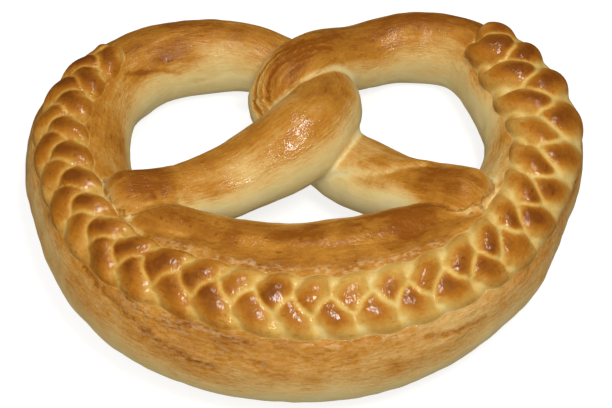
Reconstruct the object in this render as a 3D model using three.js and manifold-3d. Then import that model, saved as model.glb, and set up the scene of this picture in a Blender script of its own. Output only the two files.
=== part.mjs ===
// A large sweet pretzel loaf with a three-strand plait laid round its ring, in millimetres, +Z up.
// One thick rope of dough makes the ring. At the back its two arms turn inwards, cross each other
// twice and come to rest on the ring's inner shoulders. The plait runs round the top of the ring
// from one back corner, past the thick front, to the other.
import * as THREE from "three";
import { mergeVertices } from "three/addons/utils/BufferGeometryUtils.js";
import Module from "manifold-3d";

const wasm = await Module();
wasm.setup();

// ---- driving dimensions ----

// The rope from one end to the other. Each row is one place on it: x, y and the height of its
// centre, then half the section's width and height there.
const ROPE = [
  [-107, -20, 58, 19, 19], // the left arm's end, on the ring's shoulder
  [-76, -8, 48, 20, 18],
  [-42, 11, 42, 24, 22],
  [-2, 38, 50, 27, 26], // over the right arm
  [12, 76, 36, 24, 23],
  [-4, 113, 19, 22, 21], // under the right arm
  [-34, 129, 23, 22, 23],
  [-66, 132, 23, 25, 26], // back, left of the twist
  [-104, 121, 25, 26, 26],
  [-134, 90, 26, 28, 27], // left corner
  [-145, 44, 28, 33, 30], // left side
  [-134, -8, 30, 34, 33],
  [-107, -53, 33, 40, 36],
  [-61, -79, 37, 50, 41],
  [0, -88, 38, 54, 43], // middle of the front
  [58, -75, 37, 50, 41],
  [103, -46, 33, 39, 36],
  [131, -4, 30, 32, 33],
  [145, 44, 28, 31, 30], // right side
  [134, 92, 26, 28, 28], // right corner
  [107, 130.5, 24, 22.5, 26],
  [68, 139.5, 23, 21.5, 26], // back, right of the twist
  [34, 128, 26, 22, 22],
  [-2, 100, 46, 21, 20], // over the left arm
  [-16, 74, 40, 21, 21],
  [8, 52, 24, 23, 20], // under the left arm
  [38, 22, 30, 24, 21],
  [68, -3, 44, 21, 20],
  [98, -18, 60, 19, 17], // the right arm's end, on the ring's shoulder
];
const RING_FROM = 7; // the rows between which the rope is the ring
const RING_TO = 21;
const ROPE_STEPS = 3; // sections from one row to the next
const ROPE_SIDES = 18;
const ROPE_END_STEPS = 4; // sections that round an end off
const JOIN_DEPTH = 1; // how far the ring and the arms reach into each other where they join

// The fold that the dough was rolled into along the belly's inner shoulder. Each row is one place:
// how far along the rope, the degrees that it lies outward of the ring's top, how deep its centre
// lies inside the ring, and half its width and height.
const FOLD = [
  [509, -26, 9, 8, 7],
  [519, -32, 5, 12, 11],
  [530, -39, 3, 16, 13],
  [544, -44, 4, 18, 13.5],
  [560, -46, 5.5, 19, 13],
  [590, -43, 7, 20, 12.5],
  [629, -41, 8, 21, 12],
  [672, -41, 7, 20, 12.5],
  [702, -43, 6, 18, 13],
  [722, -45, 6, 16, 13],
  [736, -39, 7, 12, 11],
  [748, -33, 9, 8, 7],
];
const FOLD_STEPS = 2; // sections from one row to the next
const FOLD_SIDES = 12;

// The plait from one end to the other, a row for each step along it: from one strand's lobe to the
// next one's along either edge, the degrees that the plait's middle lies outward of the ring's top,
// how far a strand swings to each side of it, and half a strand's width and height.
const PLAIT_ROWS = [
  [22.5, 9, 12, 7.4, 5.8], // the left end
  [23, 15, 14.2, 8, 6.1],
  [23, 15.5, 14.4, 8, 6.2],
  [22, 16, 14, 8, 6.3],
  [20.5, 19, 13.8, 8, 6.4],
  [19, 24.5, 14, 7.8, 6.4], // left of the front
  [20.5, 25.5, 14, 8.2, 6.6],
  [22.5, 23.5, 15.5, 8.8, 6.8],
  [26, 18, 18.5, 10, 7.2],
  [28, 8, 22.5, 11, 8.2],
  [25, 6, 20, 9.8, 9.6], // the right end
];
const PLAIT_STEP = 58; // along the ring, from one row to the next

const PLAIT = {
  strands: 3,
  starts: 67, // from the row where the ring starts, measured along the rope
  firstTurn: -0.45, // how far the first strand has turned through its swing there
  straight: 1 / 9, // how much straighter than a wave a strand runs from one side to the other
  weave: 0.45, // the share of its half height that it rises and dips over and under the others
  sunk: 2, // how far the strands' centres lie inside the surface that carries them
  pinch: 16, // the stretch over which the strands come together at each end
  pinched: 0.75, // the share of their swing that is left there
  stretch: 7, // from one section of a strand to the next, measured along the ring
  sides: 8,
  endSteps: 3,
};
const CLEARANCE = 0.3; // between the rope and the plait that lies on it

// The middle of the loaf's own box, from where the rows are measured.
const MIDDLE = new THREE.Vector3(-1, 9.5, 0);

const TABLE = { size: 500, thick: 50 }; // the block that cuts the underside flat

// ---- shapes ----

const UP = new THREE.Vector3(0, 0, 1);
const LENGTH_STEPS = 50; // straight pieces from one row to the next when a length is measured
const { clamp, lerp, smoothstep, degToRad } = THREE.MathUtils;

/** Numbers that change smoothly from one row to the next. */
class Rows {
  constructor(rows) {
    this.last = rows.length - 1;
    this.columns = rows[0].map((_, i) => rows.map((row) => row[i]));
  }

  /** The numbers at a row or between two. */
  at(row) {
    const before = Math.min(Math.floor(row), this.last - 1);
    const share = row - before;
    return this.columns.map((column) => {
      const here = column[before];
      const next = column[before + 1];
      const previous = before > 0 ? column[before - 1] : 2 * here - next;
      const following = before + 2 <= this.last ? column[before + 2] : 2 * next - here;
      return catmullRom(previous, here, next, following, share);
    });
  }
}

/** The number at a share of the way from here to next, on the smooth curve through all four. */
function catmullRom(previous, here, next, following, share) {
  const leaving = (next - previous) / 2;
  const arriving = (following - here) / 2;
  const bend = 3 * (next - here) - 2 * leaving - arriving;
  const twist = 2 * (here - next) + leaving + arriving;
  return here + share * (leaving + share * (bend + share * twist));
}

/** A smooth centreline with a section that changes along it, through rows of five numbers. */
class Rope {
  constructor(rows) {
    const centres = rows.map(([x, y, z]) => new THREE.Vector3(x, y, z));
    const halves = rows.map(([, , , wide, high]) => new THREE.Vector3(wide, high, 0));
    this.spans = rows.length - 1;
    this.line = new THREE.CatmullRomCurve3(centres, false, "catmullrom", 0.5);
    this.sizes = new THREE.CatmullRomCurve3(halves, false, "catmullrom", 0.5);
    this.line.arcLengthDivisions = this.spans * LENGTH_STEPS;
  }

  /** How far along the rope a row lies. */
  distance(row) {
    return this.line.getLengths()[row * LENGTH_STEPS];
  }

  /** The row, with its fraction, that lies at a distance along the rope. */
  rowAt(distance) {
    return this.line.getUtoTmapping(0, distance) * this.spans;
  }

  /** The centre, the directions along and across, and the half sizes at a row or between two. */
  frame(row) {
    const t = row / this.spans;
    const along = this.line.getTangent(t);
    const size = this.sizes.getPoint(t);
    return { centre: this.line.getPoint(t), ...axes(along, UP), wide: size.x, high: size.y };
  }

  /** The point on the skin at an angle outward of the top, and the direction that points out there. */
  skinPoint(distance, angle) {
    const f = this.frame(this.rowAt(distance));
    const point = f.centre
      .clone()
      .addScaledVector(f.across, Math.sin(angle) * f.wide)
      .addScaledVector(f.above, Math.cos(angle) * f.high);
    const out = new THREE.Vector3()
      .addScaledVector(f.across, Math.sin(angle) / f.wide)
      .addScaledVector(f.above, Math.cos(angle) / f.high)
      .normalize();
    return { point, out };
  }
}

/** The three directions at a place on a tube that runs along one way, with up towards another. */
function axes(along, up) {
  const across = along.clone().cross(up).normalize();
  const above = across.clone().cross(along).normalize();
  return { along, across, above };
}

/** One closed ring of points: an ellipse round a frame, scaled by shrink and moved along by push. */
function section(frame, sides, shrink = 1, push = 0) {
  return Array.from({ length: sides }, (_, i) => {
    const turn = (2 * Math.PI * i) / sides;
    return frame.centre
      .clone()
      .addScaledVector(frame.across, frame.wide * shrink * Math.cos(turn))
      .addScaledVector(frame.above, frame.high * shrink * Math.sin(turn))
      .addScaledVector(frame.along, push);
  });
}

/** A closed tube through these frames as a solid, with both ends rounded off to some depth. */
function tubeSolid(frames, sides, endSteps, firstDepth, lastDepth) {
  const first = frames[0];
  const last = frames[frames.length - 1];
  const rings = frames.map((frame) => section(frame, sides));
  for (let i = endSteps - 1; i > 0; i--) {
    const turn = (Math.PI / 2) * (i / endSteps);
    rings.unshift(section(first, sides, Math.sin(turn), -firstDepth * Math.cos(turn)));
    rings.push(section(last, sides, Math.sin(turn), lastDepth * Math.cos(turn)));
  }
  return skin(
    rings,
    first.centre.clone().addScaledVector(first.along, -firstDepth),
    last.centre.clone().addScaledVector(last.along, lastDepth),
  );
}

/** A closed skin over rings of points, with a tip before the first and after the last. */
function skin(rings, firstTip, lastTip) {
  const sides = rings[0].length;
  const tip = rings.length * sides;
  const at = (ring, i) => ring * sides + (i % sides);
  const points = [...rings.flat(), firstTip, lastTip];
  const faces = [];
  for (let i = 0; i < sides; i++) {
    for (let ring = 0; ring + 1 < rings.length; ring++) {
      faces.push(at(ring, i), at(ring + 1, i), at(ring, i + 1));
      faces.push(at(ring, i + 1), at(ring + 1, i), at(ring + 1, i + 1));
    }
    faces.push(tip, at(0, i), at(0, i + 1));
    faces.push(tip + 1, at(rings.length - 1, i + 1), at(rings.length - 1, i));
  }
  return solid(points.flatMap((p) => p.toArray()), faces);
}

/** A solid from the coordinates of its corners and the corners of its triangles. */
function solid(coordinates, faces) {
  return new wasm.Manifold(
    new wasm.Mesh({
      numProp: 3,
      vertProperties: new Float32Array(coordinates),
      triVerts: new Uint32Array(faces),
    }),
  );
}

/** The largest of a solid's separate pieces, without the crumbs that a cut leaves. */
function largestPiece(shape) {
  return shape.decompose().reduce((best, piece) => (piece.volume() > best.volume() ? piece : best));
}

/** A named mesh of a solid, with its own material. */
function meshOf(name, shape, material) {
  const { vertProperties, triVerts } = shape.getMesh();
  const geometry = new THREE.BufferGeometry();
  geometry.setAttribute("position", new THREE.BufferAttribute(vertProperties, 3));
  geometry.setIndex(new THREE.BufferAttribute(triVerts, 1));
  geometry.computeVertexNormals();
  const mesh = new THREE.Mesh(geometry, material);
  mesh.name = name;
  return mesh;
}

// ---- the rope ----

const rope = new Rope(ROPE);

/** The rope from one row to another, grown all round by some distance. */
function stretchSolid(fromRow, toRow, grown) {
  const count = (toRow - fromRow) * ROPE_STEPS;
  const frames = Array.from({ length: count + 1 }, (_, i) => {
    const frame = rope.frame(lerp(fromRow, toRow, i / count));
    return { ...frame, wide: frame.wide + grown, high: frame.high + grown };
  });
  const firstDepth = fromRow === 0 ? frames[0].high : JOIN_DEPTH;
  const lastDepth = toRow === rope.spans ? frames[count].high : JOIN_DEPTH;
  return tubeSolid(frames, ROPE_SIDES, ROPE_END_STEPS, firstDepth, lastDepth);
}

/** The fold on the belly's inner shoulder, grown all round by some distance. */
function foldSolid(grown) {
  const rows = new Rows(FOLD);
  const places = Array.from({ length: rows.last * FOLD_STEPS + 1 }, (_, i) => {
    const [distance, lean, deep, wide, high] = rows.at(i / FOLD_STEPS);
    const { point, out } = rope.skinPoint(distance, degToRad(lean));
    return { centre: point.addScaledVector(out, -deep), out, wide: wide + grown, high: high + grown };
  });
  const frames = places.map(({ centre, out, wide, high }, i) => {
    const before = places[Math.max(i - 1, 0)].centre;
    const after = places[Math.min(i + 1, places.length - 1)].centre;
    return { centre, ...axes(after.clone().sub(before).normalize(), out), wide, high };
  });
  return tubeSolid(frames, FOLD_SIDES, ROPE_END_STEPS, frames[0].high, frames[0].high);
}

/** The ring with its fold and both arms in one, grown all round by some distance. */
function wholeRope(grown) {
  return stretchSolid(RING_FROM, RING_TO, grown)
    .add(foldSolid(grown))
    .add(stretchSolid(0, RING_FROM, grown))
    .add(stretchSolid(RING_TO, rope.spans, grown));
}

/** Everything below the surface that the loaf lies on, which bakes its underside flat. */
function belowTable() {
  const slab = new THREE.BoxGeometry(TABLE.size, TABLE.size, TABLE.thick);
  slab.translate(0, 0, -TABLE.thick / 2);
  slab.deleteAttribute("normal");
  slab.deleteAttribute("uv");
  const merged = mergeVertices(slab);
  return solid(merged.attributes.position.array, merged.index.array);
}

// ---- the plait ----

const plaitRows = new Rows(PLAIT_ROWS);
const plaitLength = plaitRows.last * PLAIT_STEP;

/** The plait's sizes at a distance along it, which its end sections may lie just beyond. */
function plaitSizes(distance) {
  const inside = clamp(distance, 0, plaitLength);
  const [pitch, lean, sway, wide, high] = plaitRows.at(inside / PLAIT_STEP);
  const toEnd = Math.min(inside, plaitLength - inside);
  const spread = lerp(PLAIT.pinched, 1, smoothstep(toEnd, 0, PLAIT.pinch));
  return { pitch, lean: degToRad(lean), sway: sway * spread, wide, high };
}

/** Where each strand's sections lie: how far along the plait, and how far it has turned there. */
function plaitPlaces() {
  const count = Math.round(plaitLength / PLAIT.stretch);
  const stretch = plaitLength / count;
  const places = [{ distance: 0, turn: PLAIT.firstTurn }];
  for (let i = 1; i <= count; i++) {
    const { pitch } = plaitSizes((i - 0.5) * stretch);
    const turn = places[i - 1].turn + (2 * Math.PI * stretch) / (pitch * PLAIT.strands);
    places.push({ distance: i * stretch, turn });
  }
  return places;
}

/** Where a strand's centre lies, and which way is out there. */
function strandPoint(distance, turn) {
  const along = rope.distance(RING_FROM) + PLAIT.starts + distance;
  const { wide: ringWide, high: ringHigh } = rope.frame(rope.rowAt(along));
  const { lean, sway, high } = plaitSizes(distance);
  const swing = (Math.cos(turn) + PLAIT.straight * Math.cos(3 * turn)) / (1 + PLAIT.straight);
  const { point, out } = rope.skinPoint(along, lean + (sway * swing) / Math.sqrt(ringWide * ringHigh));
  const rise = -PLAIT.weave * high * Math.sin(2 * turn) - PLAIT.sunk;
  return { point: point.addScaledVector(out, rise), out };
}

/** The centre, directions and half sizes of a strand at a place along the plait. */
function strandFrame(distance, turn) {
  const step = 0.6; // how far to each side its direction is measured
  const { pitch, wide, high } = plaitSizes(distance);
  const turned = (2 * Math.PI * step) / (pitch * PLAIT.strands);
  const { point, out } = strandPoint(distance, turn);
  const before = strandPoint(distance - step, turn - turned).point;
  const after = strandPoint(distance + step, turn + turned).point;
  return { centre: point, ...axes(after.sub(before).normalize(), out), wide, high };
}

/** One strand, which has turned ahead of the first one by a phase. */
function strandSolid(phase) {
  const frames = plaitPlaces().map(({ distance, turn }) => strandFrame(distance, turn + phase));
  const firstDepth = frames[0].high;
  const lastDepth = frames[frames.length - 1].high;
  return tubeSolid(frames, PLAIT.sides, PLAIT.endSteps, firstDepth, lastDepth);
}

/** The strands, baked together into one piece. */
function wholePlait() {
  const strands = Array.from({ length: PLAIT.strands }, (_, k) =>
    strandSolid((2 * Math.PI * k) / PLAIT.strands),
  );
  return strands.reduce((joined, strand) => joined.add(strand));
}

// ---- the loaf ----

const ropeSolid = wholeRope(0).subtract(belowTable());
const plaitSolid = largestPiece(wholePlait().subtract(wholeRope(CLEARANCE)));

const ropeCrust = new THREE.MeshStandardMaterial({ color: 0xc88a45, roughness: 0.4, metalness: 0 });
const plaitCrust = new THREE.MeshStandardMaterial({ color: 0xb06d28, roughness: 0.35, metalness: 0 });

const loaf = new THREE.Group();
loaf.add(meshOf("rope", ropeSolid, ropeCrust));
loaf.add(meshOf("plait", plaitSolid, plaitCrust));
loaf.position.copy(MIDDLE).negate();

export default loaf;
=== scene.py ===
"""A large plaited pretzel loaf: a thick rope of sweet dough with a three-strand plait on its ring.

Lengths are in millimetres until a mesh is written. A place on the rope has a run, its distance along
the rope, and a lean, its degrees from the section's top towards the outside of the ring. A place on
the plait has a way, its distance along the plait, and it lies aside, outward of the plait's middle.
"""

import logging
from dataclasses import dataclass, field, fields
from enum import Enum

import bmesh
import bpy
import numpy as np
from mathutils import Matrix, Vector, noise
from mathutils.bvhtree import BVHTree


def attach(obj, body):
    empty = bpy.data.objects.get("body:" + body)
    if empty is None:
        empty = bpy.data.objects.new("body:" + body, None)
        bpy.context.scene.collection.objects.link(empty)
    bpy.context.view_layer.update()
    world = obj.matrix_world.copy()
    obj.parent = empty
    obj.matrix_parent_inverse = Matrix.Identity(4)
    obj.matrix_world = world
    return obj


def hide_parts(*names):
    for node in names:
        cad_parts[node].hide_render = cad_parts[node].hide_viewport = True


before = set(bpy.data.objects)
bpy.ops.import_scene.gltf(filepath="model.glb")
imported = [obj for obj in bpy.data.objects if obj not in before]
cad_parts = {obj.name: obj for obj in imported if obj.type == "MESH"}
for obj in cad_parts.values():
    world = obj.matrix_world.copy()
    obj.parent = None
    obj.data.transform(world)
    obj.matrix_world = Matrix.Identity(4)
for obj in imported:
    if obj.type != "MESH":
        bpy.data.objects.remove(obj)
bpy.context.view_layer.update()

log = logging.getLogger("pretzel")
MM = 0.001
UP = np.array([0.0, 0.0, 1.0])

# The rope from one end to the other, in millimetres: x, y and the height of its centre, then half
# the section's width and height there.
ROPE_ROWS = (
    (-107, -20, 58, 19, 19),  # the left arm's end, on the ring's shoulder
    (-76, -8, 48, 20, 18),
    (-42, 11, 42, 24, 22),
    (-2, 38, 50, 27, 26),  # over the right arm
    (12, 76, 36, 24, 23),
    (-4, 113, 19, 22, 21),  # under the right arm
    (-34, 129, 23, 22, 23),
    (-66, 132, 23, 25, 26),  # back, left of the twist
    (-104, 121, 25, 26, 26),
    (-134, 90, 26, 28, 27),  # left corner
    (-145, 44, 28, 33, 30),  # left side
    (-134, -8, 30, 34, 33),
    (-107, -53, 33, 40, 36),
    (-61, -79, 37, 50, 41),
    (0, -88, 38, 54, 43),  # middle of the front
    (58, -75, 37, 50, 41),
    (103, -46, 33, 39, 36),
    (131, -4, 30, 32, 33),
    (145, 44, 28, 31, 30),  # right side
    (134, 92, 26, 28, 28),  # right corner
    (107, 130.5, 24, 22.5, 26),
    (68, 139.5, 23, 21.5, 26),  # back, right of the twist
    (34, 128, 26, 22, 22),
    (-2, 100, 46, 21, 20),  # over the left arm
    (-16, 74, 40, 21, 21),
    (8, 52, 24, 23, 20),  # under the left arm
    (38, 22, 30, 24, 21),
    (68, -3, 44, 21, 20),
    (98, -18, 60, 19, 17),  # the right arm's end, on the ring's shoulder
)
# The plait in even steps from one end to the other: from one lobe to the next along either edge,
# the degrees that its middle lies outward of the ring's top, how far a strand swings to each side,
# half a strand's width and height, and how much browner it baked than most.
PLAIT_ROWS = (
    (22.5, 9, 12, 7.4, 5.8, 0.04),
    (23, 15, 14.2, 8.0, 6.1, 0.04),
    (23, 15.5, 14.4, 8.0, 6.2, 0.02),
    (22, 16, 14, 8.0, 6.3, 0.02),
    (20.5, 19, 13.8, 8, 6.4, 0.03),
    (19, 24.5, 14, 7.8, 6.4, -0.04),
    (20.5, 25.5, 14, 8.2, 6.6, -0.08),
    (22.5, 23.5, 15.5, 8.8, 6.8, 0.0),
    (26, 18, 18.5, 10, 7.2, -0.02),
    (28, 8, 22.5, 11, 8.2, 0.0),
    (25, 6, 20, 9.8, 9.6, 0.10),
)
# The middle of the loaf among the rows above, which is taken off every centre.
MIDDLE = np.array([-1.0, 9.5, 0.0])
# The rope is the ring between these rows, and an arm beyond them.
RING_FROM = 7
RING_TO = 21
MIDDLE_ROW = 14
# How many chances are drawn for the plait's lobes and for the grooves of the twist.
LOBE_CHANCES = 400
GROOVE_CHANCES = 64
FAR_OFF = 1e6

Span = tuple[float, float]
Triple = tuple[float, float, float]
Socket = bpy.types.NodeSocket
Value = Socket | float | Triple


class Grain(Enum):
    """How a crust's fine wrinkles run."""

    ALONG = "along"
    ROUND = "round"


def smoothstep(x: np.ndarray, low: float, high: float) -> np.ndarray:
    """Rises smoothly from 0 at low to 1 at high."""
    t = np.clip((x - low) / (high - low), 0.0, 1.0)
    return t * t * (3.0 - 2.0 * t)


def falling(x: np.ndarray, low: float, high: float) -> np.ndarray:
    """Falls smoothly from 1 at low to 0 at high."""
    return 1 - smoothstep(x, low, high)


def band(x: np.ndarray, rises: Span, falls: Span) -> np.ndarray:
    """Rises smoothly to 1 over one span, and falls back to 0 over the other."""
    return smoothstep(x, *rises) * falling(x, *falls)


def bell(x: np.ndarray, width: float) -> np.ndarray:
    """One at 0, and less to both sides of it."""
    return np.exp(-((x / width) ** 2))


def unit(v: np.ndarray) -> np.ndarray:
    """The same vectors with length one."""
    return v / np.maximum(np.linalg.norm(v, axis=-1, keepdims=True), 1e-12)


def uneven(points: np.ndarray, size: float, seed: float = 0.0, octaves: int = 2) -> np.ndarray:
    """Smooth noise at each point.

    Args:
        points: Places, in millimetres.
        size: How large its bumps are, in millimetres.
        seed: Moves the pattern elsewhere.
        octaves: How many finer layers are added.

    Returns:
        A number near -1 to 1 for each point.
    """
    scaled = points / size + np.array([seed, seed * 1.7, -seed * 0.6])
    values = [noise.fractal(Vector(p), 1.0, 2.0, octaves, noise_basis="PERLIN_NEW") for p in scaled.tolist()]
    return np.array(values)


class Line:
    """A smooth curve through rows of numbers."""

    def __init__(self, rows: np.ndarray) -> None:
        """Keeps the rows, with one more beyond each end.

        Args:
            rows: The rows that the curve goes through.
        """
        rows = np.asarray(rows, float)
        self.last = len(rows) - 1
        before = 2 * rows[:1] - rows[1:2]
        after = 2 * rows[-1:] - rows[-2:-1]
        self.rows = np.vstack([before, rows, after])

    def at(self, row: np.ndarray) -> np.ndarray:
        """Reads the curve between its rows.

        Args:
            row: Which rows, each with its fraction.

        Returns:
            The numbers of the curve at each of them.
        """
        row = np.clip(np.asarray(row, float), 0.0, self.last)
        i = np.minimum(row.astype(int), self.last - 1)
        w = (row - i)[..., None]
        p0, p1, p2, p3 = (self.rows[i + k] for k in range(4))
        t0, t1 = (p2 - p0) / 2, (p3 - p1) / 2
        square, cube = w * w, w * w * w
        return p1 + t0 * w + (3 * (p2 - p1) - 2 * t0 - t1) * square + (2 * (p1 - p2) + t0 + t1) * cube


@dataclass
class Frames:
    """Places on a tube: the centre, three directions, and half the section's width and height."""

    centre: np.ndarray
    along: np.ndarray
    across: np.ndarray
    above: np.ndarray
    wide: np.ndarray
    high: np.ndarray

    @staticmethod
    def of(
        centre: np.ndarray, along: np.ndarray, up: np.ndarray, wide: np.ndarray, high: np.ndarray
    ) -> "Frames":
        """Frames whose sections stand square to the tube.

        Args:
            centre: The sections' centres.
            along: Which way the tube runs at each.
            up: Which way each section's top is turned.
            wide: Half of each section's width.
            high: Half of each section's height.

        Returns:
            The frames.
        """
        along = unit(along)
        across = unit(np.cross(along, up))
        return Frames(centre, along, across, np.cross(across, along), wide, high)

    def pick(self, index: np.ndarray) -> "Frames":
        """The frames at some indices."""
        return Frames(*(getattr(self, part.name)[index] for part in fields(self)))

    def skin(self, angle: np.ndarray) -> tuple[np.ndarray, np.ndarray]:
        """Finds a point on the skin of each section.

        Args:
            angle: How far each point lies from the section's top, in radians.

        Returns:
            The points, and the way out of the skin at each.
        """
        sine, cosine = np.sin(angle), np.cos(angle)
        out = unit(self.across * (sine / self.wide)[:, None] + self.above * (cosine / self.high)[:, None])
        point = self.centre + self.across * (sine * self.wide)[:, None]
        return point + self.above * (cosine * self.high)[:, None], out


class Rope:
    """The centreline and sections of the rope of dough, in the part's own frame."""

    blunt: float = 0.8
    samples: int = 50
    least_end: float = 0.03
    row_step: float = 0.01

    def __init__(self) -> None:
        """Lays the curve through its rows and measures it."""
        rows = np.array(ROPE_ROWS, float)
        rows[:, :3] -= MIDDLE
        self.line = Line(rows)
        self.rows = np.linspace(0.0, self.line.last, self.line.last * self.samples + 1)
        steps = np.diff(self.line.at(self.rows)[:, :3], axis=0)
        self.lengths = np.concatenate([[0.0], np.cumsum(np.linalg.norm(steps, axis=1))])

    def distance(self, row: np.ndarray) -> np.ndarray:
        """How far along the rope a row lies."""
        return np.interp(row, self.rows, self.lengths)

    def row_at(self, distance: np.ndarray) -> np.ndarray:
        """The row that lies at a distance along the rope."""
        return np.interp(distance, self.lengths, self.rows)

    def frames(self, row: np.ndarray) -> Frames:
        """The frames at some rows.

        Args:
            row: Which rows, each with its fraction.

        Returns:
            Their frames, turned towards the sky.
        """
        row = np.asarray(row, float)
        here = self.line.at(row)
        ahead = self.line.at(row + self.row_step)[..., :3] - self.line.at(row - self.row_step)[..., :3]
        return Frames.of(here[..., :3], ahead, UP, here[..., 3], here[..., 4])

    def sections(self, run: np.ndarray) -> Frames:
        """The frames at distances along the rope, which shrink past its rounded ends.

        Args:
            run: The distances, which may lie a little past the ends.

        Returns:
            Their frames.
        """
        inside = np.clip(run, 0.0, self.lengths[-1])
        f = self.frames(self.row_at(inside))
        past = run - inside
        shrink = np.sqrt(np.maximum(1 - (past / (f.high * self.blunt)) ** 2, self.least_end))
        centre = f.centre + f.along * past[:, None]
        return Frames(centre, f.along, f.across, f.above, f.wide * shrink, f.high * shrink)


@dataclass
class Relief:
    """What lies at each place on the plait.

    It holds the height over the ring, how far the top strand stands over the next one and over all
    that it sinks into, how far that strand is through its swing, how far beside its middle line the
    place is, which lobe it is, and how far it lies on top.
    """

    height: np.ndarray
    crease: np.ndarray
    proud: np.ndarray
    swing: np.ndarray
    side: np.ndarray
    lobe: np.ndarray
    over: np.ndarray


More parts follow.
